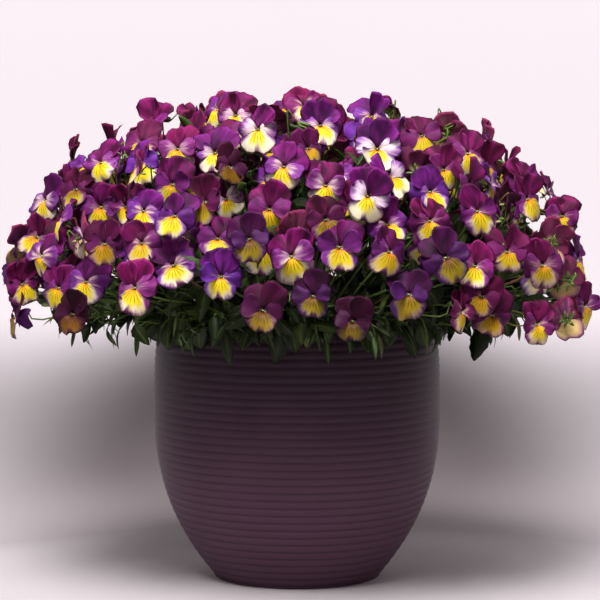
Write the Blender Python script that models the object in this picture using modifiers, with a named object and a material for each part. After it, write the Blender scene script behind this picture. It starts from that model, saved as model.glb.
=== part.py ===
"""A pansy planter: a ribbed barrel pot, its potting mix, and six pansy plants in full flower.

Frame: metres, +Z up, the middle of the pot's underside at the origin, the front towards -Y.
Each plant has one node for its stems, one for its leaf mass, and one for each of its main flowers.
"""

import math

import bmesh
import bpy
from mathutils import Vector, noise

# ---------------------------------------------------------------- driving dimensions (metres)
GAP = 0.0003                    # clearance kept between pieces that touch

POT_HEIGHT = 0.272
POT_RADIUS = 0.150              # outer radius at the belly, the widest ring
POT_FOOT_RADIUS = 0.085
POT_RIM_RADIUS = 0.144
POT_BELLY_HEIGHT = 0.188
POT_WALL = 0.006
POT_FLOOR = 0.006
POT_STEPS = 28                  # facets round the pot
FOOT_ROUND = 0.003
RIB_PITCH = 0.008
RIB_DEPTH = 0.0009
DRAIN_RADIUS = 0.011
INNER_RINGS = 7                 # rings of facets up the inner wall, as far as the mix reaches
LOWER_CURVE = 2.546             # how late the wall pulls in towards the foot
UPPER_CURVE = 2.2               # how late it pulls in towards the rim

SOIL_TOP = 0.254
SOIL_EDGE = 0.249               # the mix falls to this level at the pot's wall
SOIL_FLAT_RADIUS = 0.110
SOIL_GAP = 1.5 * GAP            # level gap that leaves GAP along the sloping, faceted wall

MOUND_CENTRE_Z = 0.270          # level of the lowest flowers, at the pot's rim
MOUND_ROUNDNESS = 2.4           # 2 is an ellipsoid; more is boxier
FLOWER_MOUND = (0.300, 0.284, 0.222)    # half width, half depth and height of the flowers' surface
LEAF_MOUND = (0.252, 0.238, 0.182)      # the same for the leaf mass inside it
LEAF_DROOP = 0.026              # leaves hang this far below the rim
LEAF_SEGMENTS = 32
LEAF_LUMP = 0.010               # height of the lumps on the leaf mass
LEAF_LUMP_SCALE = 28.0          # how closely the lumps follow each other
LEAF_FLOOR = 0.276              # the leaves' lowest level over the pot's mouth
RIM_SEAT = 0.010                # width of the ring inside the mouth over which they come down to the rim
RIM_MARGIN = 0.001              # what they keep clear of the rim's two faces

OUTER_PLANTS = 5
ROOT_RING = 0.092               # the outer plants' roots stand on this ring
CELL_BOTTOM = (0.200, 0.030)    # height and radius of the centre plant's space, at its foot
CELL_TOP = (0.600, 0.150)       # and at its top

CROWN_HEIGHT = 0.016
CROWN_RADIUS = 0.009
CROWN_TOP_RADIUS = 0.005
STEM_RADIUS = 0.0030
STEM_START = 0.6                # where the stems begin, as a share of the crown's height
STEM_BEND = (0.45, 0.012)       # the bend's place along a stem, and how far it is lifted
CENTRE_STEMS = (0.050, 0.420)   # radius and height at which the centre plant's stems end
CENTRE_STEM_TURNS = (-60, 60, 180)
SIDE_STEMS = (17, 0.165, 0.350)     # turn to each side, radius and height where side stems end
LOW_STEM = (0.190, 0.292)       # radius and height at which an outer plant's low stem ends
STALK_RADIUS = 0.0015
STALK_HOOK = 0.012              # the stalk's last stretch, straight into the calyx
STALK_BEND = (0.7, 0.004)       # the bend's place along a stalk, and how far it sags
FIRST_BRANCH = 0.55             # stalks leave the outer part of a stem between these two shares
LAST_BRANCH = 0.93
BRANCH_PLACES = 10              # evenly spaced places between them

PETAL_THICKNESS = 0.0016
CALYX_DEPTH = 0.0100
CALYX_RADIUS = 0.0056
CALYX_END_RADIUS = 0.0020
OUTLINE_POINTS = 18
# One flower's petals: direction from the throat (degrees, 90 is up), distance, lobe radius
PETALS = (
    (64, 0.0147, 0.0114),
    (116, 0.0147, 0.0114),
    (22, 0.0096, 0.0090),
    (158, 0.0096, 0.0090),
    (270, 0.0101, 0.0122),
)

# Each plant's main flowers: degrees round from the front, degrees up the mound from the rim,
# degrees that the face is turned away from straight outwards, and size.
FLOWERS = {
    "front_plant": (
        (-34, 50, 14, 1.00), (-13, 60, 6, 0.96), (-3, 43, 2, 0.98), (22, 50, -14, 1.12),
        (15, 33, -8, 1.05), (-25, 27, 8, 1.00), (-9, 21, 6, 0.96), (8, 19, -2, 1.12),
        (29, 16, -14, 1.12), (-6, 5, 4, 1.02), (10, 3, -10, 0.96), (-31, 9, 12, 1.08),
    ),
    "right_plant": (
        (52, 48, -30, 1.00), (60, 31, -20, 1.02), (84, 52, 10, 0.96), (88, 32, -8, 1.00),
        (40, 28, -16, 1.00), (55, 13, -32, 1.05), (76, 13, -15, 1.00), (51, 1, -20, 1.00),
        (85, 2, -40, 1.02),
    ),
    "left_plant": (
        (-84, 64, 35, 1.02), (-59, 44, 26, 1.00), (-73, 30, 24, 1.04), (-40, 19, 12, 1.00),
        (-60, 15, 22, 1.02), (-86, 8, 34, 1.02), (-46, 3, 22, 0.96), (-72, 1, 12, 0.98),
    ),
    "back_right_plant": (
        (118, 8, 12, 1.04), (142, 26, -18, 0.98), (165, 6, 10, 1.00), (120, 40, 20, 1.02),
        (160, 46, -8, 1.04),
    ),
    "back_left_plant": (
        (-119, 10, -14, 1.00), (-140, 28, 12, 1.05), (-166, 5, -12, 0.98), (-118, 42, -10, 1.00),
        (-158, 45, 16, 1.02),
    ),
    "centre_plant": (
        (-72, 77, 20, 1.00), (7, 82, -5, 0.98), (36, 69, -12, 1.02), (100, 74, 25, 1.00),
        (165, 71, 0, 1.00), (-140, 70, -20, 1.04), (-30, 70, 10, 1.00),
    ),
}
PLANTS = tuple(FLOWERS)

# Colours of the flowers in turn: wine, violet, magenta and plum
PETAL_COLOURS = (
    (0.20, 0.02, 0.16),
    (0.17, 0.06, 0.38),
    (0.32, 0.03, 0.24),
    (0.10, 0.01, 0.10),
)


# ---------------------------------------------------------------- scene helpers
def empty_scene():
    for obj in list(bpy.data.objects):
        bpy.data.objects.remove(obj, do_unlink=True)


def new_collection(name):
    collection = bpy.data.collections.new(name)
    bpy.context.scene.collection.children.link(collection)
    return collection


def new_material(name, colour, roughness):
    material = bpy.data.materials.new(name)
    material.use_nodes = True
    shader = material.node_tree.nodes["Principled BSDF"]
    shader.inputs["Base Color"].default_value = (*colour, 1.0)
    shader.inputs["Roughness"].default_value = roughness
    shader.inputs["Metallic"].default_value = 0.0
    material.diffuse_color = (*colour, 1.0)
    return material


def add_object(name, mesh, collection):
    obj = bpy.data.objects.new(name, mesh)
    collection.objects.link(obj)
    return obj


def add_material(obj, colour, roughness):
    """Gives the object a material of its own, also where it shares its mesh."""
    if not obj.data.materials:
        obj.data.materials.append(None)
    slot = obj.material_slots[0]
    slot.link = "OBJECT"
    slot.material = new_material(obj.name, colour, roughness)


def hide_cutter(obj):
    obj.hide_render = True
    obj.display_type = "WIRE"
    return obj


def boolean(obj, operation, cutter):
    """Adds an exact Boolean with one object or with a whole collection."""
    modifier = obj.modifiers.new(operation.lower(), "BOOLEAN")
    modifier.operation = operation
    modifier.solver = "EXACT"
    if isinstance(cutter, bpy.types.Collection):
        modifier.operand_type = "COLLECTION"
        modifier.collection = cutter
    else:
        modifier.object = cutter


def mesh_of(obj):
    """The object's evaluated mesh, with the caps of a curve welded on."""
    evaluated = obj.evaluated_get(bpy.context.evaluated_depsgraph_get())
    mesh = bpy.data.meshes.new_from_object(evaluated)
    bm = bmesh.new()
    bm.from_mesh(mesh)
    bmesh.ops.remove_doubles(bm, verts=bm.verts, dist=1e-6)
    bmesh.ops.recalc_face_normals(bm, faces=bm.faces)
    bm.to_mesh(mesh)
    bm.free()
    return mesh


def curve_to_mesh(obj, collection):
    """Puts a mesh object in the place of a curve object, so that it can be cut and joined."""
    bpy.context.view_layer.update()
    name = obj.name
    mesh = mesh_of(obj)
    place = obj.matrix_world.copy()
    curve = obj.data
    bpy.data.objects.remove(obj)
    bpy.data.curves.remove(curve)
    result = add_object(name, mesh, collection)
    result.matrix_world = place
    return result


# ---------------------------------------------------------------- shape helpers
def turned(name, profile, closed, steps, collection):
    """A profile of (radius, height) points, turned about Z with a Screw modifier."""
    bm = bmesh.new()
    verts = [bm.verts.new((radius, 0.0, height)) for radius, height in profile]
    for first, second in zip(verts, verts[1:]):
        bm.edges.new((first, second))
    if closed:
        bm.edges.new((verts[-1], verts[0]))
    mesh = bpy.data.meshes.new(name)
    bm.to_mesh(mesh)
    bm.free()
    obj = add_object(name, mesh, collection)
    screw = obj.modifiers.new("turn", "SCREW")
    screw.axis = "Z"
    screw.steps = steps
    screw.render_steps = steps
    screw.use_merge_vertices = True
    screw.merge_threshold = 0.00001
    return obj


def flat_curve(name, outline, half_thickness, collection):
    """A closed flat outline, filled and extruded both ways along Z."""
    curve = bpy.data.curves.new(name, "CURVE")
    curve.dimensions = "2D"
    curve.fill_mode = "BOTH"
    curve.extrude = half_thickness
    spline = curve.splines.new("POLY")
    spline.points.add(len(outline) - 1)
    for point, (x, y) in zip(spline.points, outline):
        point.co = (x, y, 0.0, 1.0)
    spline.use_cyclic_u = True
    return add_object(name, curve, collection)


def tube(name, points, radius, collection, sides=4):
    """A round-ish tube with closed ends along a list of points."""
    curve = bpy.data.curves.new(name, "CURVE")
    curve.dimensions = "3D"
    curve.bevel_depth = radius
    curve.bevel_resolution = (sides - 4) // 2
    curve.use_fill_caps = True
    spline = curve.splines.new("POLY")
    spline.points.add(len(points) - 1)
    for point, place in zip(spline.points, points):
        point.co = (*place, 1.0)
    return curve_to_mesh(add_object(name, curve, collection), collection)


def frustum(name, base, height, low_radius, high_radius, segments, collection):
    """A cone with its top cut off, standing on the point `base`."""
    bm = bmesh.new()
    bmesh.ops.create_cone(
        bm, cap_ends=True, segments=segments, radius1=low_radius, radius2=high_radius, depth=height
    )
    mesh = bpy.data.meshes.new(name)
    bm.to_mesh(mesh)
    bm.free()
    obj = add_object(name, mesh, collection)
    obj.location = Vector(base) + Vector((0.0, 0.0, height / 2))
    return obj


def lengthened(points, extra):
    """The same route with both its ends moved outwards by `extra`."""
    start = points[0] + (points[0] - points[1]).normalized() * extra
    end = points[-1] + (points[-1] - points[-2]).normalized() * extra
    return [start, *points[1:-1], end]


def signed_power(value, power):
    return math.copysign(abs(value) ** power, value)


def heading(turn):
    """The level direction at `turn` degrees round from the front."""
    angle = math.radians(turn - 90.0)
    return Vector((math.cos(angle), math.sin(angle), 0.0))


def at(turn, radius, height):
    """The point at a turn round from the front, a radius from the axis and a height."""
    return raised(heading(turn) * radius, height)


def raised(point, rise):
    return point + Vector((0.0, 0.0, rise))


def on_mound(turn, climb, mound):
    """The point of a mound's surface at `turn` degrees from the front and `climb` degrees up."""
    half_width, half_depth, height = mound
    level = math.cos(math.radians(climb)) ** (2 / MOUND_ROUNDNESS)
    rise = signed_power(math.sin(math.radians(climb)), 2 / MOUND_ROUNDNESS)
    outwards = heading(turn)
    return Vector((
        outwards.x * half_width * level,
        outwards.y * half_depth * level,
        MOUND_CENTRE_Z + height * rise,
    ))


# ---------------------------------------------------------------- pot and potting mix
def pot_radius(height):
    """The pot's outer radius at a height: the belly, pulling in towards foot and rim."""
    if height < POT_BELLY_HEIGHT:
        share = (POT_BELLY_HEIGHT - height) / POT_BELLY_HEIGHT
        return POT_RADIUS - (POT_RADIUS - POT_FOOT_RADIUS) * share ** LOWER_CURVE
    share = (height - POT_BELLY_HEIGHT) / (POT_HEIGHT - POT_BELLY_HEIGHT)
    return POT_RADIUS - (POT_RADIUS - POT_RIM_RADIUS) * share ** UPPER_CURVE


def wall_profile(first, inset):
    """Points up the inner wall from the height `first`, `inset` inside the pot's outer face."""
    rise = (SOIL_EDGE - POT_FLOOR) / INNER_RINGS
    heights = [first] + [POT_FLOOR + rise * (i + 1) for i in range(INNER_RINGS)]
    return [(pot_radius(height) - inset, height) for height in heights]


def build_pot(collection):
    ribs = round((POT_HEIGHT - FOOT_ROUND) / RIB_PITCH)
    pitch = (POT_HEIGHT - FOOT_ROUND) / ribs
    outside = []
    for i in range(ribs):
        crest = POT_HEIGHT - i * pitch
        groove = crest - pitch / 2
        outside.append((pot_radius(crest), crest))
        outside.append((pot_radius(groove) - RIB_DEPTH, groove))
    outside.append((pot_radius(FOOT_ROUND), FOOT_ROUND))
    underside = [(POT_FOOT_RADIUS - FOOT_ROUND, 0.0), (DRAIN_RADIUS, 0.0)]
    floor = [(DRAIN_RADIUS, POT_FLOOR)]
    inside = wall_profile(POT_FLOOR, POT_WALL)
    lip = [(POT_RIM_RADIUS - POT_WALL, POT_HEIGHT)]
    profile = outside + underside + floor + inside + lip
    pot = turned("pot", profile, True, POT_STEPS, collection)
    add_material(pot, (0.045, 0.022, 0.034), 0.55)
    return pot


def build_potting_mix(collection):
    wall = wall_profile(POT_FLOOR + GAP, POT_WALL + SOIL_GAP)
    top = [(0.0, SOIL_TOP), (SOIL_FLAT_RADIUS, SOIL_TOP)]
    profile = top + wall[::-1] + [(0.0, POT_FLOOR + GAP)]
    mix = turned("potting_mix", profile, False, POT_STEPS, collection)
    add_material(mix, (0.045, 0.028, 0.018), 0.95)
    return mix


# ---------------------------------------------------------------- flowers
def petal_reach(angle):
    """How far the union of the five round petals reaches from the throat in one direction."""
    reach = 0.0
    for direction, distance, radius in PETALS:
        off = angle - math.radians(direction)
        across = distance * math.sin(off)
        if abs(across) < radius:
            reach = max(reach, distance * math.cos(off) + math.sqrt(radius ** 2 - across ** 2))
    return reach


def build_flower_mesh(cutters):
    """One flower facing +Z with its upper petals towards +Y: petals, and the calyx behind."""
    outline = []
    for i in range(OUTLINE_POINTS):
        angle = math.pi / 2 + 2 * math.pi * i / OUTLINE_POINTS
        reach = petal_reach(angle)
        outline.append((reach * math.cos(angle), reach * math.sin(angle)))
    petals = flat_curve("petal_outline", outline, PETAL_THICKNESS / 2, cutters)
    petals = hide_cutter(curve_to_mesh(petals, cutters))
    calyx = frustum(
        "calyx", (0.0, 0.0, -CALYX_DEPTH), CALYX_DEPTH, CALYX_END_RADIUS, CALYX_RADIUS, 6, cutters
    )
    hide_cutter(calyx)
    boolean(petals, "UNION", calyx)
    bpy.context.view_layer.update()
    mesh = mesh_of(petals)
    mesh.name = "flower"
    return mesh


def face_direction(turn, climb, twist):
    """Where a flower looks: outwards, turned by `twist`, and a little up the higher it grows."""
    tilt = math.radians(6.0 + 0.3 * climb)
    return heading(turn + twist) * math.cos(tilt) + Vector((0.0, 0.0, math.sin(tilt)))


def build_flower(name, flower, mesh, colour, collection):
    turn, climb, twist, size = flower
    obj = add_object(name, mesh, collection)
    obj.location = on_mound(turn, climb, FLOWER_MOUND)
    obj.rotation_euler = face_direction(turn, climb, twist).to_track_quat("Z", "Y").to_euler()
    obj.scale = (size, size, size)
    add_material(obj, colour, 0.6)
    return obj


# ---------------------------------------------------------------- stems
def stem_routes(plant):
    """The foot of a plant, and its main stems: points from the crown into the leaf mass."""
    if plant == "centre_plant":
        root = at(0.0, 0.0, SOIL_TOP)
        aims = [at(turn, *CENTRE_STEMS) for turn in CENTRE_STEM_TURNS]
    else:
        turn = plant_turn(plant)
        root = at(turn, ROOT_RING, SOIL_TOP)
        spread, radius, height = SIDE_STEMS
        aims = [at(turn + spread, radius, height), at(turn - spread, radius, height)]
        aims.append(at(turn, *LOW_STEM))
    start = raised(root, GAP + CROWN_HEIGHT * STEM_START)
    share, lift = STEM_BEND
    return root, [[start, raised(start.lerp(aim, share), lift), aim] for aim in aims]


def plant_turn(plant):
    """Degrees round from the front at which an outer plant's root stands."""
    order = ("front_plant", "right_plant", "back_right_plant", "back_left_plant", "left_plant")
    return 360.0 / OUTER_PLANTS * order.index(plant)


def stalk_route(flower, stems):
    """A flower's stalk: from the nearest stem, up behind the flower, then forward to its calyx."""
    turn, climb, twist, size = flower
    centre = on_mound(turn, climb, FLOWER_MOUND)
    face = face_direction(turn, climb, twist)
    tip = centre - face * (CALYX_DEPTH * size + GAP)
    behind = tip - face * STALK_HOOK
    stem = min(stems, key=lambda route: (route[-1] - centre).length)
    place = (turn * 7) % BRANCH_PLACES / BRANCH_PLACES
    start = stem[1].lerp(stem[2], FIRST_BRANCH + (LAST_BRANCH - FIRST_BRANCH) * place)
    share, sag = STALK_BEND
    return [start, raised(start.lerp(behind, share), -sag), behind, tip]


def build_stems(plant, collection, cutters):
    """The stems joined in one solid, and a collection of slightly fatter ones to cut leaves with."""
    root, stems = stem_routes(plant)
    stalks = [stalk_route(flower, stems) for flower in FLOWERS[plant]]
    joined = new_collection(plant + "_stem_parts")
    clearance = new_collection(plant + "_stem_clearance")
    crown = frustum(
        plant + "_stems", raised(root, GAP), CROWN_HEIGHT, CROWN_RADIUS, CROWN_TOP_RADIUS, 8, collection
    )
    for routes, radius, sides in ((stems, STEM_RADIUS, 6), (stalks, STALK_RADIUS, 4)):
        for points in routes:
            hide_cutter(tube(plant + "_part", points, radius, joined, sides))
            wide = tube(
                plant + "_clearance", lengthened(points, GAP), radius + GAP, clearance, sides
            )
            hide_cutter(wide)
    boolean(crown, "UNION", joined)
    add_material(crown, (0.16, 0.24, 0.06), 0.6)
    return clearance


# ---------------------------------------------------------------- leaves
def build_leaf_mound():
    """The whole leaf mass: a boxy, lumpy dome that hangs a little over the pot's rim."""
    bm = bmesh.new()
    bmesh.ops.create_uvsphere(bm, u_segments=LEAF_SEGMENTS, v_segments=LEAF_SEGMENTS // 2, radius=1.0)
    for vert in bm.verts:
        turn = math.degrees(math.atan2(vert.co.y, vert.co.x)) + 90.0
        climb = math.degrees(math.asin(max(-1.0, min(1.0, vert.co.z))))
        mound = LEAF_MOUND if climb >= 0.0 else (*LEAF_MOUND[:2], LEAF_DROOP)
        place = on_mound(turn, climb, mound)
        lump = noise.noise(place * LEAF_LUMP_SCALE) * LEAF_LUMP
        vert.co = place + vert.co.normalized() * lump
    mesh = bpy.data.meshes.new("leaf_mound")
    bm.to_mesh(mesh)
    bm.free()
    return mesh


def wedge(name, turn, cutters):
    """The space of one outer plant: a wedge, drawn in so that neighbours stay a gap apart."""
    half = math.pi / OUTER_PLANTS
    reach = 0.5
    apex = heading(turn) * (GAP / 2 / math.sin(half))
    side = math.degrees(half)
    corners = [apex]
    for edge in (-side, 0.0, side):
        corners.append(apex + heading(turn + edge) * reach)
    outline = [(corner.x, corner.y) for corner in corners]
    obj = flat_curve(name, outline, reach, cutters)
    obj.location.z = MOUND_CENTRE_Z
    return hide_cutter(curve_to_mesh(obj, cutters))


def centre_cell(name, extra, cutters):
    """The space of the centre plant: a cone that widens upwards."""
    (low, low_radius), (high, high_radius) = CELL_BOTTOM, CELL_TOP
    return hide_cutter(frustum(
        name, (0.0, 0.0, low), high - low, low_radius + extra, high_radius + extra, 20, cutters
    ))


def pot_clearance(cutters):
    """What the leaves have to leave free: the pot's mouth, and the rim with a gap over it."""
    rim = POT_HEIGHT + GAP
    mouth = POT_RIM_RADIUS - POT_WALL - RIM_MARGIN
    outside = POT_RADIUS + RIM_MARGIN
    profile = [
        (0.0, LEAF_FLOOR), (mouth - RIM_SEAT, LEAF_FLOOR), (mouth, rim), (outside, rim),
        (outside, POT_BELLY_HEIGHT), (0.0, POT_BELLY_HEIGHT),
    ]
    return hide_cutter(turned("pot_clearance", profile, False, POT_STEPS, cutters))


def build_leaves(plant, mound, cell, others, collection):
    leaves = add_object(plant + "_leaves", mound, collection)
    boolean(leaves, "INTERSECT", cell)
    for cutter in others:
        boolean(leaves, "DIFFERENCE", cutter)
    add_material(leaves, (0.035, 0.075, 0.015), 0.6)
    return leaves


# ---------------------------------------------------------------- whole planter
def main():
    empty_scene()
    planter = new_collection("potted_pansy_planter")
    cutters = new_collection("cutters")
    build_pot(planter)
    build_potting_mix(planter)
    flower_mesh = build_flower_mesh(cutters)
    mound = build_leaf_mound()
    rim_space = pot_clearance(cutters)
    inner_cell = centre_cell("centre_cell", 0.0, cutters)
    outer_limit = centre_cell("centre_cell_clearance", GAP, cutters)
    for plant in PLANTS:
        stem_space = build_stems(plant, planter, cutters)
        if plant == "centre_plant":
            build_leaves(plant, mound, inner_cell, (rim_space, stem_space), planter)
        else:
            cell = wedge(plant + "_cell", plant_turn(plant), cutters)
            build_leaves(plant, mound, cell, (outer_limit, rim_space, stem_space), planter)
        for number, flower in enumerate(FLOWERS[plant], start=1):
            name = f"{plant}_flower_{number:02d}"
            colour = PETAL_COLOURS[number % len(PETAL_COLOURS)]
            build_flower(name, flower, flower_mesh, colour, planter)


main()
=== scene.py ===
"""The looks of a pansy planter: a ribbed pot, its soil, and six pansy plants in full flower.

Everything is in metres, +Z up, with the middle of the pot's underside at the origin and the front
towards -Y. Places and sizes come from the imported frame; the shapes are made of mesh code below.
Turn is an angle round from the front, climb an angle up the mound from the pot's rim, in degrees.
"""

import collections
import functools
import math

import bpy
import numpy as np
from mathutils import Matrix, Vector


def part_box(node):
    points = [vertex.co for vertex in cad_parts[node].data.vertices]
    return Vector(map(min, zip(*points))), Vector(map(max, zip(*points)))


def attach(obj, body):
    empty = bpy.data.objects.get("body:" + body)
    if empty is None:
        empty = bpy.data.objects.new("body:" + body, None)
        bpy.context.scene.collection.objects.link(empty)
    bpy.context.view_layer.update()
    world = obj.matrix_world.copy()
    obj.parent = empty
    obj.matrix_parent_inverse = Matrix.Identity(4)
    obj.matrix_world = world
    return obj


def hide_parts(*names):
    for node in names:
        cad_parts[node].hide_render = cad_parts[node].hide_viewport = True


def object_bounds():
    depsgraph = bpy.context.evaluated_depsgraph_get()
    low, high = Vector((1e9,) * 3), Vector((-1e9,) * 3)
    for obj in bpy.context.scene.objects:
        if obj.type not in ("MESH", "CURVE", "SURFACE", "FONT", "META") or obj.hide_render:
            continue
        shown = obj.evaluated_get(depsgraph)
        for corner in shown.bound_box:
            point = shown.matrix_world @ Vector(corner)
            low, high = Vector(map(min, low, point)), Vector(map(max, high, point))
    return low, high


UP = np.array((0.0, 0.0, 1.0))

# ---------------------------------------------------------------- planter
PLANTS = {                      # each plant's turn round from the front; the centre one has none
    "front_plant": 0.0,
    "right_plant": 72.0,
    "back_right_plant": 144.0,
    "back_left_plant": -144.0,
    "left_plant": -72.0,
    "centre_plant": None,
}
SECTOR = 36.0                   # half of an outer plant's sector, in degrees
CENTRE_CLIMB = 70.0             # what grows above this climb belongs to the centre plant
END_DEPTH = 0.0004              # CAD points this close to a shape's end count as that end

# ---------------------------------------------------------------- pot and soil
POT_FOOT_SHARE = 0.5667         # foot radius over belly radius
POT_RIM_SHARE = 0.96            # rim radius over belly radius
POT_BELLY_SHARE = 0.691         # height of the belly over the pot's height
LOWER_CURVE = 2.546
UPPER_CURVE = 2.2
POT_WALL = 0.006
POT_LIP = 0.0022                # height of the rounded top of the rim
RIB_PITCH = 0.008
RIB_DEPTH = 0.0008
RIB_STEPS = 6                   # rings of points for each rib
POT_SIDES = 176
FOOT_ROUND = 0.003
DRAIN_RADIUS = 0.011
SOIL_LUMP = 0.0035
SOIL_SIDES = 72
SOIL_GAP = 0.0006               # between the soil and the pot's wall
SOIL_EDGE = 0.005               # how far the soil's top rises from its edge

# ---------------------------------------------------------------- mound
MOUND_ROUNDNESS = 2.4
FACE_REACH = (0.0115, 0.0040, 0.0200)   # how far petals stand past the surface of flower centres
BLOOM_SPACING = 0.0310
BLOOM_COUNT = 190
BLOOM_TRIES = 12000
LEAFY_LEVEL = 0.50              # the lower, the more of the mound is left to leaves
BUD_COUNT = 26
LEAF_COUNT = 1500               # in the mound
SKIRT_COUNT = 420               # under its edge
HOOKED_COUNT = 80
RIM_LEAF_COUNT = 60
INNER_LENGTHS = (0.026, 0.040)  # of leaves deep in the mound, which fill it
OUTER_LENGTHS = (0.018, 0.030)
BROAD = (0.45, 0.65)            # a leaf's width as a share of its length
SLIM = (0.18, 0.28)

# ---------------------------------------------------------------- studio
# The floor's soft shade behind the pot is a painted shadow on its paper.
SHADE_MIDDLE = 0.98             # how far behind the pot the floor's soft shade is centred
SHADE_HALF_WIDTH = 0.48
SHADE_REACH = (1.25, 2.90)      # towards the pot, and away from it
STAGE_SIDES = 96
LIGHT_AIM = (0.0, 0.0, 0.30)
LIGHT_SPREAD = 65.0             # the width of a light's beam in degrees
CAMERA_PLACE = (0.003, -2.45, 0.463)
CAMERA_AIM = (0.003, 0.0, 0.289)
CAMERA_LENS = 141.0             # millimetres, on a sensor 36 wide

# What a kind of flower looks like: ranges of its hue (0 wine to 1 violet), its age (0 fresh to
# 1 golden brown) and its paleness (under 0 for a deeper flower), and how far its petals stand forward.
# Placing the darker dusky, old and gold kinds on the lowest flowers is painted shade.
KINDS = {
    "fresh": ((0.1, 0.8), (0.0, 0.32), (-0.35, 0.60), 0.0),
    "violet": ((0.75, 1.0), (0.0, 0.15), (-0.3, 0.5), 0.0),
    "wine": ((0.0, 0.25), (0.15, 0.55), (-0.6, 0.2), 0.05),
    "pale": ((0.3, 0.9), (0.0, 0.08), (0.6, 0.85), 0.0),
    "gold": ((0.0, 0.6), (0.45, 0.8), (-0.2, 0.4), 0.0),
    "dark": ((0.0, 0.5), (0.75, 1.0), (-0.6, 0.1), 0.35),
    "dusky": ((0.5, 1.0), (0.25, 0.50), (-0.9, -0.5), 0.0),
    "old": ((0.0, 0.4), (0.55, 0.75), (-0.9, -0.5), 0.25),
}
KIND_SHARES = {"fresh": 0.44, "violet": 0.15, "wine": 0.20, "pale": 0.06, "gold": 0.10, "dark": 0.05}
# The darker kinds given to low main flowers stand in as painted shade.
MAIN_KINDS = {                  # the main flowers that aren't simply fresh
    "front_plant_flower_02": "pale", "front_plant_flower_04": "pale", "front_plant_flower_05": "pale",
    "front_plant_flower_07": "dusky", "front_plant_flower_09": "dusky",
    "front_plant_flower_10": "old", "front_plant_flower_11": "old",
    "left_plant_flower_04": "gold", "left_plant_flower_06": "dusky", "left_plant_flower_07": "dark",
    "left_plant_flower_08": "dusky", "right_plant_flower_06": "gold", "right_plant_flower_08": "wine",
    "centre_plant_flower_02": "wine", "centre_plant_flower_03": "violet",
}

# Further flowers that show from the front: turn, climb, twist away from outwards, size, kind
FURTHER = (
    (-23, 50, 8, 1.02, "fresh"), (-48, 47, 20, 0.98, "violet"), (-29, 37, 10, 1.02, "fresh"),
    (-17, 45, 60, 0.90, "dark"), (-6, 31, -4, 1.02, "fresh"), (-16, 22, 14, 0.94, "fresh"),
    (-20, 32, -20, 1.00, "wine"), (-34, 29, 18, 1.06, "violet"), (-32, 20, 30, 0.94, "gold"),
    (-25, 15, 12, 1.08, "fresh"), (-14, 12, 8, 1.02, "violet"), (-46, 10, 20, 1.04, "fresh"),
    (-55, 8, 30, 0.96, "fresh"), (-49, 21, 150, 0.96, "pale"), (-1, 17, -4, 1.06, "fresh"),
    (-85, 27, 30, 0.98, "wine"), (-86, 19, 60, 0.98, "fresh"), (-70, 20, 40, 1.00, "wine"),
    (-85, 74, 160, 1.02, "wine"), (-66, 57, 50, 1.00, "wine"), (9, 64, 8, 1.02, "fresh"),
    (26, 62, -30, 1.00, "violet"), (50, 60, -40, 1.00, "fresh"), (41, 44, -20, 1.00, "wine"),
    (7, 39, 10, 0.98, "fresh"), (31, 43, 150, 0.96, "dark"), (31, 35, -10, 1.04, "violet"),
    (6, 27, 12, 0.96, "wine"), (19, 26, -16, 1.00, "fresh"), (28, 26, -8, 0.98, "fresh"),
    (53, 27, 30, 1.00, "dark"), (18, 18, 10, 0.98, "gold"), (36, 14, -30, 1.00, "fresh"),
    (45, 17, -16, 1.00, "wine"), (66, 19, 130, 0.98, "wine"), (73, 38, -30, 1.04, "wine"),
    (86, 22, -20, 1.00, "wine"), (70, 9, 140, 0.98, "wine"), (3, 8, 0, 0.98, "dusky"),
    (21, 8, -12, 0.98, "dusky"), (37, 7, -20, 0.96, "gold"), (32, 4, 24, 0.90, "gold"),
    (41, 3, -20, 0.98, "gold"), (65, 1, 150, 0.96, "pale"), (75, 1, 20, 0.94, "wine"),
    (-62, 35, 30, 0.98, "wine"), (62, 45, -20, 1.00, "wine"),
)

# ---------------------------------------------------------------- one flower
CAD_FLOWER_DEPTH = 0.0108       # from the front of a CAD flower's petals to its calyx's end
THROAT_RADIUS = 0.0012
THROAT_DEPTH = 0.0042           # how far the petals dip into the throat
PETAL_THICKNESS = 0.00028
LEAF_THICKNESS = 0.0003
SEPAL_THICKNESS = 0.0004
SEPAL_LENGTH = 0.0105
SEPAL_WIDTH = 0.0019            # half of it
STALK_RADIUS = 0.00085
STALK_SEAT = 0.0062             # how far behind the throat a stalk ends
HOOK_BACK = 0.016               # how far behind the throat a stalk's hook has its top, and how high
HOOK_RISE = 0.0075
STEM_RADIUS = 0.0021
PETIOLE_RADIUS = 0.0007


# How one kind of petal is shaped, in degrees and metres: the material numbers of its front and back,
# where it points and how far it spreads, its reach and (claw) the share of it at the sides, how round
# (power) or square the outline is, its bends, lift and ruffle, and its notch and narrowing if any.
Petal = collections.namedtuple(
    "Petal",
    "slot back direction spread length claw power square lean curl cup lift ruffle notch narrowing",
    defaults=(0.0, 0.0),
)
UPPER, SIDE, LIP, BACK, LIP_BACK, GREEN, STIGMA = range(7)
upper_petal = functools.partial(Petal, UPPER, BACK, spread=46, claw=0.46, power=2.6, square=0.50,
                                curl=-0.04, cup=0.20, ruffle=0.0022)
side_petal = functools.partial(Petal, SIDE, BACK, spread=46, length=0.0200, claw=0.56, power=3.0,
                               square=0.48, lean=0.10, curl=-0.24, cup=-0.18, lift=0.0006, ruffle=0.0017)
PETALS = (
    upper_petal(117, length=0.0262, lean=-0.16, lift=-0.0018),
    upper_petal(64, length=0.0270, lean=-0.10, lift=-0.0009),
    side_petal(175),
    side_petal(5),
    Petal(LIP, LIP_BACK, 270, spread=70, length=0.0236, claw=0.68, power=4.0, square=0.42,
          notch=0.08, narrowing=0.10, lean=0.16, curl=-0.34, cup=-0.10, lift=0.0012, ruffle=0.0018),
)

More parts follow.
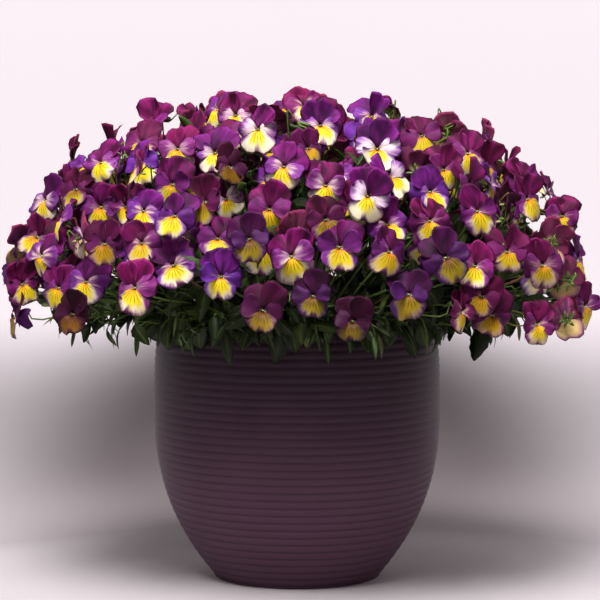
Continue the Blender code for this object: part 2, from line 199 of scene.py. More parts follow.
# The egg-shaped parts of a flower and of a bud: centre and radii in its own axes, and material
FLOWER_BEADS = (
    ((0.0, 0.0002, -0.0024), (0.0008, 0.0008, 0.0014), STIGMA),
    ((0.0, 0.0, -0.0055), (0.0022, 0.0022, 0.0030), GREEN),         # calyx
    ((0.0, -0.0022, -0.0085), (0.0011, 0.0013, 0.0032), BACK),      # spur
)
BUD_BEADS = (
    ((0.0, 0.0, 0.0035), (0.0027, 0.0027, 0.0075), UPPER),
    ((0.0, 0.0, -0.0030), (0.0025, 0.0025, 0.0034), GREEN),
)


# ---------------------------------------------------------------- directions and the mound
def heading(turn):
    """The level direction at `turn` degrees round from the front."""
    angle = math.radians(turn - 90.0)
    return np.array((math.cos(angle), math.sin(angle), 0.0))


def unit(vector):
    return vector / np.linalg.norm(vector)


def wrapped(turn):
    """The same turn between -180 and 180 degrees."""
    return (turn + 180.0) % 360.0 - 180.0


class Mound:
    """The boxy dome on which the flowers' throats lie."""

    def __init__(self, low, high, rim_height):
        self.level = rim_height - 0.002
        self.half_width = (high[0] - low[0]) / 2 - FACE_REACH[0]
        self.half_depth = (high[1] - low[1]) / 2 - FACE_REACH[1]
        self.height = high[2] - self.level - FACE_REACH[2]

    def point(self, turn, climb, depth=1.0):
        """A point on the dome, or inside it where depth is under 1."""
        flat = abs(math.cos(math.radians(climb))) ** (2 / MOUND_ROUNDNESS)
        rise = math.sin(math.radians(climb))
        rise = math.copysign(abs(rise) ** (2 / MOUND_ROUNDNESS), rise)
        way = heading(turn)
        return np.array((
            way[0] * self.half_width * flat * depth,
            way[1] * self.half_depth * flat * depth,
            self.level + self.height * rise * depth,
        ))

    def normal(self, turn, climb):
        """The outward direction at a point of the dome."""
        step = 0.5
        along = self.point(turn + step, climb) - self.point(turn - step, climb)
        up = self.point(turn, climb + step) - self.point(turn, climb - step)
        if np.linalg.norm(along) < 1e-6:
            return UP
        return unit(np.cross(along, up))


def plant_at(turn, climb):
    """The plant that what grows here belongs to."""
    if climb > CENTRE_CLIMB:
        return "centre_plant"
    for plant, middle in PLANTS.items():
        if middle is not None and abs(wrapped(turn - middle)) <= SECTOR:
            return plant
    return "front_plant"


# ---------------------------------------------------------------- mesh gathering
class Gather:
    """Collects many small closed shapes into one mesh, with surface coordinates and tints."""

    def __init__(self):
        self.points, self.faces, self.slots, self.surfaces, self.tints = [], [], [], [], []
        self.count = 0

    def add(self, points, faces, slots, surfaces=None, tint=(0.5, 0.0, 0.5)):
        size = len(points)
        self.points.append(points)
        self.faces.append(faces + self.count)
        self.slots.append(np.broadcast_to(slots, len(faces)))
        self.surfaces.append(np.zeros((size, 3)) if surfaces is None else surfaces)
        self.tints.append(np.broadcast_to(tint, (size, 3)))
        self.count += size

    def build(self, name, materials):
        faces = np.concatenate(self.faces).astype(np.int32)
        mesh = bpy.data.meshes.new(name)
        mesh.vertices.add(self.count)
        mesh.vertices.foreach_set("co", np.concatenate(self.points).astype(np.float32).ravel())
        mesh.loops.add(faces.size)
        mesh.loops.foreach_set("vertex_index", faces.ravel())
        mesh.polygons.add(len(faces))
        mesh.polygons.foreach_set("loop_start", np.arange(0, faces.size, 4, dtype=np.int32))
        mesh.polygons.foreach_set("material_index", np.concatenate(self.slots).astype(np.int32))
        mesh.polygons.foreach_set("use_smooth", np.ones(len(faces), bool))
        for label, values in (("surface", self.surfaces), ("tint", self.tints)):
            attribute = mesh.attributes.new(label, "FLOAT_VECTOR", "POINT")
            attribute.data.foreach_set("vector", np.concatenate(values).astype(np.float32).ravel())
        for material in materials:
            mesh.materials.append(material)
        mesh.update(calc_edges=True)
        piece = bpy.data.objects.new(name, mesh)
        bpy.context.scene.collection.objects.link(piece)
        return piece


def surface_grid(across, along, shape):
    """Surface coordinates of a grid of points: across it from -1 to 1, and along it from 0 to 1."""
    return np.stack((np.broadcast_to(across, shape), np.broadcast_to(along, shape), np.zeros(shape)), -1)


@functools.lru_cache
def sheet_layout(rows, columns):
    """Faces of a thin closed sheet whose back shares the front's rim, and its inner points."""
    front = np.arange((rows + 1) * (columns + 1)).reshape(rows + 1, columns + 1)
    back = front.copy()
    inner = front[1:-1, 1:-1].ravel()
    back[1:-1, 1:-1] = front.size + np.arange(inner.size).reshape(rows - 1, columns - 1)
    ahead = np.stack((front[:-1, :-1], front[1:, :-1], front[1:, 1:], front[:-1, 1:]), -1)
    behind = np.stack((back[:-1, :-1], back[:-1, 1:], back[1:, 1:], back[1:, :-1]), -1)
    return ahead.reshape(-1, 4), behind.reshape(-1, 4), inner


def add_sheet(gather, grid, surface, thickness, slots, tint):
    """Adds a thin closed sheet. grid is (rows + 1, columns + 1, 3); its back lies along -Z locally."""
    ahead, behind, inner = sheet_layout(grid.shape[0] - 1, grid.shape[1] - 1)
    front = grid.reshape(-1, 3)
    normals = np.cross(np.gradient(grid, axis=0), np.gradient(grid, axis=1)).reshape(-1, 3)
    normals /= np.maximum(np.linalg.norm(normals, axis=1, keepdims=True), 1e-12)
    back = front[inner] - normals[inner] * thickness
    faces = np.concatenate((ahead, behind))
    numbers = np.repeat(slots, (len(ahead), len(behind)))
    flat = surface.reshape(-1, 3)
    gather.add(np.concatenate((front, back)), faces, numbers, np.concatenate((flat, flat[inner])), tint)


@functools.lru_cache
def loft_faces(rings, sides):
    """Faces of a closed loft: a wall of quads, and each end filled with quads (sides is even)."""
    index = np.arange(rings * sides).reshape(rings, sides)
    following = np.roll(index, -1, axis=1)
    wall = np.stack((index[:-1], following[:-1], following[1:], index[1:]), -1).reshape(-1, 4)
    fan = np.array([(0, i, i + 1, i + 2) for i in range(1, sides - 2, 2)])
    return np.concatenate((wall, index[0][fan[:, ::-1]], index[-1][fan]))


def add_loft(gather, rings, slot, surfaces=None, tint=(0.5, 0.0, 0.5)):
    """Adds a closed loft through rings of points, (rings, sides, 3), counter-clockwise upwards."""
    count, sides = rings.shape[:2]
    gather.add(rings.reshape(-1, 3), loft_faces(count, sides), slot, surfaces, tint)


def frames_along(path):
    """Two unit directions across a path at each of its points, turning as little as possible."""
    tangents = np.gradient(path, axis=0)
    tangents /= np.linalg.norm(tangents, axis=1, keepdims=True)
    helper = UP if abs(tangents[0][2]) < 0.9 else np.array((1.0, 0.0, 0.0))
    first = unit(np.cross(helper, tangents[0]))
    sideways = []
    for tangent in tangents:
        first = unit(first - tangent * (first @ tangent))
        sideways.append(first)
    sideways = np.array(sideways)
    return sideways, np.cross(tangents, sideways)


def add_tube(gather, path, radii, sides, slot, tint):
    """Adds a closed tube along a path, with a radius at each of its points."""
    across, over = frames_along(path)
    angles = np.arange(sides) * 2 * math.pi / sides
    ring = np.cos(angles)[None, :, None] * across[:, None] + np.sin(angles)[None, :, None] * over[:, None]
    rings = path[:, None] + ring * np.asarray(radii)[:, None, None]
    along = np.linspace(0.0, 1.0, len(path))[:, None]
    surfaces = surface_grid(0.0, along, (len(path), sides))
    add_loft(gather, rings, slot, surfaces.reshape(-1, 3), tint)


def bezier(points, count):
    """Points along a cubic curve given by its four control points."""
    t = np.linspace(0.0, 1.0, count)[:, None]
    a, b, c, d = points
    return a * (1 - t) ** 3 + 3 * b * t * (1 - t) ** 2 + 3 * c * t ** 2 * (1 - t) + d * t ** 3


# ---------------------------------------------------------------- colours and shader nodes
def colour(code):
    """A linear colour with alpha from a hex code such as "#7a1f6e"."""
    channels = [int(code[i:i + 2], 16) / 255 for i in (1, 3, 5)]
    linear = [c / 12.92 if c <= 0.04045 else ((c + 0.055) / 1.055) ** 2.4 for c in channels]
    return (*linear, 1.0)


class Value:
    """A number or colour inside a paint. Arithmetic on it adds Math nodes."""

    def __init__(self, paint, socket):
        self.paint, self.socket = paint, socket

    def __add__(self, other):
        return self.paint.math("ADD", self, other)

    def __sub__(self, other):
        return self.paint.math("SUBTRACT", self, other)

    def __rsub__(self, other):
        return self.paint.math("SUBTRACT", other, self)

    def __mul__(self, other):
        return self.paint.math("MULTIPLY", self, other)

    def __abs__(self):
        return self.paint.math("ABSOLUTE", self)


class Paint:
    """A Principled material, its base colour so far, and short ways to add nodes to it."""

    base = None

    def __init__(self, name, roughness, specular, sheen=0.0):
        self.material = bpy.data.materials.new(name)
        self.material.use_nodes = True
        self.links = self.material.node_tree.links
        self.shader = self.material.node_tree.nodes["Principled BSDF"]
        self.shader.inputs["Roughness"].default_value = roughness
        self.shader.inputs["Specular IOR Level"].default_value = specular
        self.shader.inputs["Sheen Weight"].default_value = sheen

    def put(self, socket, value):
        """Links a Value to a socket, or sets the socket to a number or to the colour of a hex code."""
        if isinstance(value, Value):
            self.links.new(value.socket, socket)
        else:
            socket.default_value = colour(value) if isinstance(value, str) else value

    def node(self, kind, inputs, output, **settings):
        """Adds a node with the given settings and inputs, and returns one of its outputs."""
        node = self.material.node_tree.nodes.new("ShaderNode" + kind)
        for setting, value in settings.items():
            setattr(node, setting, value)
        for label, value in inputs.items():
            self.put(node.inputs[label], value)
        return Value(self, node.outputs[output])

    def split(self, vector):
        """The three numbers of a vector."""
        first = self.node("SeparateXYZ", {0: vector}, 0)
        return [Value(self, output) for output in first.socket.node.outputs]

    def attribute(self, name):
        """The three numbers of a mesh attribute."""
        return self.split(self.node("Attribute", {}, "Vector", attribute_name=name))

    def place(self):
        """Where a point lies on its object, in metres."""
        return self.node("TexCoord", {}, "Object")

    def math(self, operation, first, second=0.0):
        return self.node("Math", {0: first, 1: second}, 0, operation=operation)

    def step(self, value, low, high, top=1.0):
        """0 where value is under low, top over high, smooth between; low may be the larger one."""
        limits = (low, high, 0.0, top) if low < high else (high, low, top, 0.0)
        inputs = dict(zip(("From Min", "From Max", "To Min", "To Max"), limits), Value=value)
        return self.node("MapRange", inputs, "Result", interpolation_type="SMOOTHSTEP")

    def mix(self, share, first, second):
        """The first colour, turning into the second one as share goes from 0 to 1."""
        return self.node("Mix", {0: share, 6: first, 7: second}, 2, data_type="RGBA")

    def over(self, tone, share):
        """Lays a colour over the base: not at all where share is 0, fully where it is 1."""
        self.base = self.mix(share, self.base, tone)

    def cover(self, tone, value, low, high, top=1.0):
        """Lays a colour over the base as value goes from low to high; top is its greatest share."""
        self.over(tone, self.step(value, low, high, top))

    def noise(self, scale, detail, vector=None, distortion=0.0):
        inputs = {"Vector": vector or self.place(), "Scale": scale, "Detail": detail}
        return self.node("TexNoise", {**inputs, "Distortion": distortion}, "Fac")

    def bump(self, height, strength, distance):
        inputs = {"Height": height, "Strength": strength, "Distance": distance}
        self.put(self.shader.inputs["Normal"], self.node("Bump", inputs, "Normal"))

    def finish(self):
        self.put(self.shader.inputs["Base Color"], self.base)
        return self.material


class PetalPaint(Paint):
    """A petal's paint: across and along the petal, its flower's tint, and patterns on it."""

    def __init__(self, name, roughness, specular, sheen=0.0):
        super().__init__(name, roughness, specular, sheen)
        self.across, self.along, _ = self.attribute("surface")
        self.hue, self.age, self.pale = self.attribute("tint")
        self.veins = self.rays(13.0, 1.6, self.pale, 3.0, 0.4)

    def rays(self, fineness, change, seed, detail, distortion):
        """0 to 1 in lines that fan out from the throat."""
        inputs = {0: self.across * fineness, 1: self.along * change, 2: seed}
        return self.noise(1.0, detail, self.node("CombineXYZ", inputs, 0), distortion)

    def streaks(self, seed):
        """0 to 1 in soft rays, four or five to a petal, different on every flower."""
        return self.rays(3.2, 0.9, seed * 17.0, 2.0, 0.3)

    def clouds(self):
        """0 to 1 in soft patches a third of a petal wide, different on every flower."""
        return self.rays(1.3, 1.3, (self.hue + self.age) * 9.0, 1.0, 0.0)

    def whiskers(self, lines, start, end):
        """1 on a few dark lines that run out from the throat."""
        sharp = self.step(self.math("COSINE", self.across * (math.pi * lines)), 0.65, 0.98)
        return sharp * self.step(self.along, start, start + 0.06) * self.step(self.along, end, end - 0.25)

    def deepen(self):
        """Darker all over on a flower whose paleness is under 0; on the low dusky and old flowers,
        painted shade.
        """
        self.cover("#14060f", self.pale, 0.0, -1.0, 0.75)


def upper_petal_paint():
    """Velvety wine to plum purple, darker towards the throat, with a redder, lighter margin."""
    paint = PetalPaint("upper_petal", 0.6, 0.08)
    rim = paint.mix(paint.hue, "#93205e", "#752384")
    deep = paint.mix(paint.hue, "#3a051e", "#2a0834")
    paint.base = paint.mix(paint.hue, "#720d44", "#551060")
    paint.cover(deep, paint.along, 0.80, 0.10)
    paint.cover(rim, paint.streaks(paint.pale), 0.42, 0.70, 0.55)
    paint.cover(rim, paint.along, 0.70, 1.0, 0.5)
    paint.cover(deep, paint.clouds(), 0.40, 0.68)
    paint.cover(deep, paint.veins, 0.45, 0.75, 0.5)
    paint.over("#34081f", paint.age)
    paint.deepen()
    paint.bump(paint.veins, 0.25, 0.0006)
    return paint.finish()


def side_petal_paint():
    """Purple with pale streaks that fan out from the throat, and a few dark whiskers."""
    paint = PetalPaint("side_petal", 0.58, 0.1)
    along, pale, veins, streaks = paint.along, paint.pale, paint.veins, paint.streaks(paint.hue)
    deep = paint.mix(paint.hue, "#480b34", "#35124f")
    light = paint.mix(paint.step(pale, 0.2, 1.0), "#a06a92", "#d8c4ce")
    light = paint.mix(paint.age, light, "#8a5f4e")
    paint.base = paint.mix(paint.hue, "#7c1c5a", "#5f2488")
    paint.over("#8a4a94", pale * 0.7)
    paint.cover(deep, paint.clouds(), 0.42, 0.72)
    paint.over("#3f0f2c", paint.age)
    paint.cover(light, along - (streaks * 1.05 + pale * 0.75 + veins * 0.25), -0.24, -0.74)
    cream = paint.step(streaks, 0.50, 0.64) * paint.step(along, 0.75, 0.10) * paint.step(pale, -0.3, 0.4)
    paint.over(paint.mix(paint.age, "#e6d2a8", "#9c7440"), cream * 0.75)
    paint.cover(deep, veins, 0.48, 0.70, 0.62)
    paint.over("#3a0f3c", paint.whiskers(9.0, 0.08, 0.50) * 0.75)
    paint.cover("#efe3c2", along, 0.12, 0.02)
    paint.deepen()
    paint.bump(veins, 0.25, 0.0006)
    return paint.finish()


def lip_paint():
    """Yellow with an orange eye, dark whiskers, cream lobes, purple sides and a purple notch."""
    paint = PetalPaint("lip_petal", 0.55, 0.15)
    age, along, pale, veins, side = paint.age, paint.along, paint.pale, paint.veins, abs(paint.across)
    feathered = along + (veins - 0.5) * 0.45 + (paint.streaks(paint.hue) - 0.5) * 0.70
    yellow = paint.mix(age, "#dfc81c", "#8e5a0c")
    cream = paint.mix(age, "#eadfc2", "#94683a")
    violet = paint.mix(age, paint.mix(paint.hue, "#82286c", "#66328e"), "#4a142c")
    paint.base = paint.mix(age, "#d98400", "#6e3606")
    paint.cover(yellow, feathered, 0.02, 0.40)
    paint.cover(cream, feathered + pale * 0.20 + side * side * 0.42, 0.62, 0.98)
    rim = paint.step(pale, 0.85, 0.25) * paint.step(side * 0.42 + feathered * 0.80, 0.72, 1.02)
    corner = paint.step(side, 0.66, 0.95) * paint.step(along, 0.20, 0.6)
    paint.over(violet, paint.math("MAXIMUM", rim, corner))
    notch = paint.step(feathered * 0.17 - side, -0.04, 0.05) * paint.step(feathered, 0.55, 0.95)
    paint.over(paint.mix(age, "#5c1a50", "#3a0f28"), notch)
    paint.over("#4a1406", paint.whiskers(8.0, 0.05, 0.64) * 0.8)
    rust = paint.step(pale, -0.2, -0.7) * paint.step(along, 0.85, 0.20) * paint.step(veins, 0.36, 0.58)
    paint.over("#42130a", rust * 0.75)
    paint.deepen()
    paint.bump(veins, 0.2, 0.0005)
    return paint.finish()


def petal_back_paint():
    """The paler, dusty mauve backs of the purple petals."""
    paint = PetalPaint("petal_back", 0.7, 0.08)
    paint.base = paint.mix(paint.hue, "#8f3c60", "#783c70")
    paint.cover("#b88674", paint.streaks(paint.hue), 0.45, 0.72, 0.6)
    paint.cover("#571a3e", paint.veins, 0.4, 0.8, 0.6)
    paint.cover("#7d244c", paint.along, 0.62, 1.0)
    paint.over("#451430", paint.age)
    paint.cover("#a39a66", paint.along, 0.36, 0.0)
    paint.bump(paint.veins, 0.3, 0.0006)
    return paint.finish()


def lip_back_paint():
    """The cream-yellow back of the lip."""
    paint = PetalPaint("lip_back", 0.7, 0.2, 0.1)
    paint.base = paint.mix(paint.age, "#d6bd78", "#8c6434")
    paint.cover("#94706a", paint.veins, 0.4, 0.8, 0.5)
    paint.cover("#8c4f6c", paint.along, 0.70, 1.0)
    return paint.finish()


def green_paint():
    """Stalks, sepals and stems: pale green, streaked, some of them flushed with red."""
    paint = Paint("green_stalk", 0.5, 0.4)
    hue, _, flush = paint.attribute("tint")
    paint.base = paint.mix(paint.noise(320.0, 2.0), "#3c5118", "#6a8034")
    paint.over("#23380f", hue * 0.7)
    paint.cover("#7a4a32", flush, 0.75, 1.0)
    return paint.finish()


def stigma_paint():
    """The small pale knob in the throat."""
    paint = Paint("stigma", 0.45, 0.4)
    paint.base = paint.mix(paint.noise(900.0, 2.0), "#9ea25c", "#cfd0a0")
    return paint.finish()


def leaf_paint():
    """Deep green, a paler midrib and side veins, a soft gloss, and painted shade on leaves deep or low.
    """
    paint = Paint("pansy_leaf", 0.5, 0.2)
    across, along, _ = paint.attribute("surface")
    hue, painted_shade, yellowness = paint.attribute("tint")
    side = abs(across)
    slope = along * 8.0 - side * 2.2
    veins = paint.step(paint.math("COSINE", slope * (2 * math.pi)), 0.82, 1.0, 0.45)
    lines = paint.math("MAXIMUM", veins, paint.step(side, 0.16, 0.02))
    blotch = paint.noise(140.0, 3.0)
    paint.base = paint.mix(hue, "#1f2c0b", "#384a19")
    paint.cover("#6f7a35", yellowness, 0.93, 1.0)
    paint.over("#6f8a48", lines * 0.5)
    paint.cover("#1f3210", blotch, 0.4, 0.7, 0.3)
    # Painted shade: darker on leaves deep in the mound and under its edge.
    paint.over("#0b1305", painted_shade)
    paint.bump(blotch - lines, 0.35, 0.0008)
    return paint.finish()


def pot_paint(tall, pitch):
    """Matt aubergine coating with a fine grain, painted shade in its grooves and up under the leaves."""
    paint = Paint("pot_coating", 0.5, 0.15)
    height = paint.split(paint.place())[2]
    grain = paint.noise(900.0, 3.0)
    turns = (tall - height) * (2 * math.pi / pitch)
    # Painted shade: darker towards the rim, lighter towards the foot.
    paint.base = paint.mix(paint.step(height, 0.29, 0.04), "#231620", "#4d3343")
    paint.cover("#5a4052", paint.noise(9.0, 4.0), 0.35, 0.65, 0.10)
    paint.cover("#624b59", grain, 0.55, 0.75, 0.10)
    # Painted shade in the grooves between the ribs.
    paint.cover("#120a10", paint.math("COSINE", turns), 0.2, 1.0, 0.35)
    # Painted shadow in a band at the top of the pot, under the overhanging leaves.
    paint.cover("#0c070a", height, 0.262, 0.292, 0.55)
    paint.bump(grain, 0.12, 0.0006)
    return paint.finish()


def soil_paint():
    """Dark moist potting mix with pale crumbs."""
    paint = Paint("potting_mix", 0.95, 0.2)
    fibre = paint.noise(260.0, 6.0)
    paint.base = paint.mix(fibre, "#1d130c", "#4a3422")
    paint.cover("#b9ad98", paint.noise(520.0, 2.0), 0.66, 0.70)
    paint.bump(fibre, 0.8, 0.003)
    return paint.finish()


def stage_paint():
    """Near-white paper with a painted soft shadow on the floor behind the pot and painted shade near it.

    It glows as painted light, most at the wall behind the pot.
    """
    paint = Paint("studio_paper", 0.9, 0.1)
    x, y, _ = paint.split(paint.place())
    # Painted shadow: a soft grey patch on the floor behind the pot, darkest at its middle.
    beyond, x_share = y - SHADE_MIDDLE, x * (1 / SHADE_HALF_WIDTH)
    y_share = paint.math("MAXIMUM", beyond * (-1 / SHADE_REACH[0]), beyond * (1 / SHADE_REACH[1]))
    patch = paint.math("SQRT", x_share * x_share + y_share * y_share)
    open_paper = paint.math("MAXIMUM", paint.step(patch, 0.50, 1.30), paint.step(y, 0.34, 0.06))
    paint.base = paint.mix(open_paper, "#625a5c", "#d2cbce")
    # Painted shade: the paper is darker near and in front of the pot.
    paint.cover("#857c7f", y, 0.9, 0.2, 0.46)
    # Painted light: the paper glows, most at the far floor and wall behind, and not inside the painted
    # shadow.
    unshaded = paint.math("MAXIMUM", paint.step(patch, 0.45, 1.5), paint.step(y, 2.9, 3.7))
    away = paint.math("SQRT", x * x + y * y)
    glow = paint.step(away, 0.5, 4.0) * (paint.step(y, 0.2, 1.5, 0.36) + 0.32) * unshaded
    paint.put(paint.shader.inputs["Emission Strength"], glow)
    paint.put(paint.shader.inputs["Emission Color"], "#fbf4f8")
    return paint.finish()


# ---------------------------------------------------------------- pot and soil
def turned_piece(name, profile, sides, material, relief=None, closed=True):
    """A piece turned about Z from (radius, height) points; closed joins the last one to the first."""
    angles = np.arange(sides) * 2 * math.pi / sides
    radius, height = np.array(profile).T
    points = np.empty((len(profile), sides, 3))
    points[..., 0] = radius[:, None] * np.cos(angles)
    points[..., 1] = radius[:, None] * np.sin(angles)
    points[..., 2] = height[:, None]
    if relief is not None:
        points[..., 2] += relief(points)
    index = np.arange(len(profile) * sides).reshape(-1, sides)
    after = np.roll(index, -1, axis=1)
    below, below_after = np.roll(index, -1, axis=0), np.roll(after, -1, axis=0)
    faces = np.stack((index, below, below_after, after), -1).reshape(-1, 4)
    gather = Gather()
    gather.add(points.reshape(-1, 3), faces if closed else faces[:-sides], 0)
    return gather.build(name, [material])


def pot_radius(height, pot_height, belly):
    """The pot's outer radius at a height, before its ribs."""
    belly_height = POT_BELLY_SHARE * pot_height
    if height < belly_height:
        share = (belly_height - height) / belly_height
        return belly * (1.0 - (1.0 - POT_FOOT_SHARE) * share ** LOWER_CURVE)
    share = (height - belly_height) / (pot_height - belly_height)
    return belly * (1.0 - (1.0 - POT_RIM_SHARE) * share ** UPPER_CURVE)


def rib_relief(share):
    """How far a rib stands back from its crest across one pitch: round crest, narrow groove."""
    return RIB_DEPTH * abs(math.cos(math.pi * share)) ** 5


def make_pot():
    low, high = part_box("pot")
    tall, belly = high[2] - low[2], (high[0] - low[0]) / 2
    radius = functools.partial(pot_radius, pot_height=tall, belly=belly)
    ribs = round((tall - FOOT_ROUND) / RIB_PITCH)
    pitch = (tall - FOOT_ROUND) / ribs
    outside = []
    for i in range(ribs * RIB_STEPS):
        height = tall - POT_LIP - (tall - POT_LIP - FOOT_ROUND) * i / (ribs * RIB_STEPS)
        outside.append((radius(height) - rib_relief((tall - height) / pitch), height))
    rim_middle = radius(tall) - POT_WALL / 2
    rim = [
        (rim_middle + POT_WALL / 2 * math.cos(a), tall - POT_LIP + POT_LIP * math.sin(a))
        for a in np.linspace(math.radians(160), math.radians(20), 6)
    ]
    foot = radius(FOOT_ROUND)
    corner = [
        (foot - FOOT_ROUND * (1 - math.cos(a)), FOOT_ROUND * (1 - math.sin(a)))
        for a in np.linspace(0.0, math.pi / 2, 5)
    ]
    chamfer = 0.001
    middle, hole = foot * 0.6, DRAIN_RADIUS + chamfer
    underside = [(middle, 0.0), (hole, 0.0), (DRAIN_RADIUS, chamfer)]
    floor = [(DRAIN_RADIUS, POT_WALL - chamfer), (hole, POT_WALL), (middle, POT_WALL)]
    inside = [
        (radius(height) - POT_WALL, height) for height in np.linspace(POT_WALL, tall - POT_LIP, 24)
    ]
    profile = rim + outside + corner + underside + floor + inside
    pot = turned_piece("ribbed_pot", profile, POT_SIDES, pot_paint(tall, pitch))
    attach(pot, "root")
    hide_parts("pot")


def soil_relief(points):
    """Lumps on the top of the potting mix, fading out at its edge."""
    x, y, z = points[..., 0], points[..., 1], points[..., 2]
    lumps = np.sin(x * 190 + np.sin(y * 120) * 2) * np.sin(y * 170 + np.sin(x * 140) * 2)
    small = np.sin(x * 520 + y * 130) * np.sin(y * 610 - x * 90)
    on_top = z > z.max() - 0.006
    inward = np.clip((np.hypot(x, y).max() - np.hypot(x, y)) / 0.02, 0.0, 1.0)
    return on_top * inward * SOIL_LUMP * (0.7 * lumps + 0.3 * small)


def make_soil():
    low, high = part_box("potting_mix")
    pot_low, pot_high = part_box("pot")
    tall, belly = pot_high[2] - pot_low[2], (pot_high[0] - pot_low[0]) / 2
    centre = 0.0008             # the radius of the small ring that closes the top and the bottom
    wall = [
        (pot_radius(height, tall, belly) - POT_WALL - SOIL_GAP, height)
        for height in np.linspace(high[2] - SOIL_EDGE, low[2], 12)
    ]
    top = [(radius, high[2] - 0.001) for radius in np.linspace(centre, wall[0][0] * 0.97, 34)]
    bottom = [(wall[-1][0] * 0.5, low[2]), (centre, low[2])]
    soil = turned_piece("potting_mix_bed", top + wall + bottom, SOIL_SIDES, soil_paint(), soil_relief)
    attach(soil, "root")
    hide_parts("potting_mix")


# ---------------------------------------------------------------- flowers
class Bloom:
    """One flower's place, facing, size and character."""

    def __init__(self, throat, face, size, roll, kind, detail, numbers):
        self.throat, self.face, self.size, self.detail = throat, unit(face), size, detail
        *ranges, self.forward = KINDS[kind]
        self.tint = [numbers.uniform(low, high) for low, high in ranges]
        across = unit(np.cross(UP, self.face))
        over = np.cross(self.face, across)
        c, s = math.cos(roll), math.sin(roll)
        self.axes = np.stack((across * c + over * s, over * c - across * s, self.face))

    def place(self, local):
        """Local points (x across, y up, z outwards) to the frame."""
        return (self.throat + (local.reshape(-1, 3) * self.size) @ self.axes).reshape(local.shape)


def petal_grid(petal, rows, columns, numbers, forward):
    """The front of one petal as a grid of points, and their surface coordinates."""
    s = np.sin(np.linspace(-1.0, 1.0, columns + 1) * math.pi / 2)       # from side to side
    t = np.linspace(0.0, 1.0, rows + 1)[:, None] ** 0.9                 # from the throat out
    phase = numbers.uniform(0.0, 2 * math.pi, 4)
    length = petal.length * numbers.normal(1.0, 0.05)
    spread = math.radians(petal.spread) * numbers.normal(1.0, 0.06)
    angle = math.radians(petal.direction + numbers.normal(0.0, 4.0)) + s * spread
    angle = angle + numbers.normal(0.0, 0.08) * t ** 2
    # The outline: a rounded fan, narrower and notched where the petal says so, with a wavy edge
    outline = petal.claw + (1 - petal.claw) * (1 - abs(s) ** petal.power) ** petal.square
    outline = outline * (1 - petal.narrowing * s ** 2) * (1 - petal.notch * np.exp(-(s / 0.13) ** 2))
    outline = outline * (1 + 0.030 * np.sin(5.0 * s + phase[0]) + 0.018 * np.sin(11.0 * s + phase[1]))
    reach = THROAT_RADIUS + (length * outline - THROAT_RADIUS) * t
    share = reach / length
    offset = share * np.sin(s * spread)
    # The height: a dip at the throat, coarse and fine ruffles, a skew, a fold, and the petal's bend
    lean = petal.lean + forward + numbers.normal(0.0, 0.13)
    curl = petal.curl + numbers.normal(0.0, 0.20)
    cup = petal.cup + numbers.normal(0.0, 0.28)
    fold = numbers.normal(0.0, 0.10)
    height = -THROAT_DEPTH * np.clip(1 - reach / 0.0065, 0.0, 1.0) ** 2
    height = height + petal.lift * np.clip(reach / 0.006, 0.0, 1.0)
    height = height + petal.ruffle * t ** 3 * np.sin(numbers.uniform(3.5, 7.5) * s + phase[2])
    height = height + petal.ruffle * 0.35 * t ** 4 * np.sin(numbers.uniform(12.0, 16.0) * s + phase[3])
    height = height + length * numbers.normal(0.0, 0.12) * offset * share * 2
    height = height + length * fold * abs(offset) * share
    height = height + length * (lean * share + curl * share ** 2 + cup * offset ** 2)
    flat = reach / math.hypot(1.0, max(lean, 0.0))
    grid = np.stack((flat * np.cos(angle), flat * np.sin(angle), height), -1)
    return grid, surface_grid(s, t, reach.shape)


def add_sepals(gather, bloom, numbers):
    """Five pointed green sepals that clasp the flower's back, two of them showing as ears."""
    rows, columns = 3, 2
    t = np.linspace(0.0, 1.0, rows + 1)[:, None]
    s = np.linspace(1.0, -1.0, columns + 1)
    for direction in (90.0, 18.0, 162.0, 234.0, 306.0):
        angle = math.radians(direction + numbers.uniform(-8.0, 8.0))
        out = 0.0008 + SEPAL_LENGTH * numbers.uniform(0.85, 1.1) * t
        side = s * (SEPAL_WIDTH * np.sin(math.pi * (0.12 + 0.84 * t)) ** 0.8)
        x = out * math.cos(angle) - side * math.sin(angle)
        y = out * math.sin(angle) + side * math.cos(angle)
        z = np.broadcast_to(-0.0062 + 0.0024 * t - 0.0016 * t ** 2, side.shape)
        world = bloom.place(np.stack((x, y, z), -1))
        surface = surface_grid(side / 0.002, t, side.shape)
        slots, tint = (GREEN, GREEN), (0.3, 0.0, 0.4)
        add_sheet(gather, world[:, ::-1], surface[:, ::-1], SEPAL_THICKNESS, slots, tint)


def add_bead(gather, bloom, centre, radii, slot, sides=6, rings=5):
    """A small egg-shaped solid in the flower's own axes."""
    climbs = np.linspace(-1.35, 1.35, rings)
    angles = np.arange(sides) * 2 * math.pi / sides
    local = np.empty((rings, sides, 3))
    local[..., 0] = centre[0] + radii[0] * np.cos(climbs)[:, None] * np.cos(angles)
    local[..., 1] = centre[1] + radii[1] * np.cos(climbs)[:, None] * np.sin(angles)
    local[..., 2] = centre[2] + radii[2] * np.sin(climbs)[:, None]
    add_loft(gather, bloom.place(local), slot, None, bloom.tint)


def add_flower(gather, bloom, numbers):
    """Five petals, the stigma, the calyx with its sepals, and the short spur behind."""
    rows, columns = (9, 14) if bloom.detail else (7, 10)
    forward = bloom.forward + numbers.normal(0.0, 0.05)
    for petal in PETALS:
        grid, surface = petal_grid(petal, rows, columns, numbers, forward)
        slots = (petal.slot, petal.back)
        add_sheet(gather, bloom.place(grid), surface, PETAL_THICKNESS, slots, bloom.tint)
    for centre, radii, slot in FLOWER_BEADS:
        add_bead(gather, bloom, centre, radii, slot)
    add_sepals(gather, bloom, numbers)


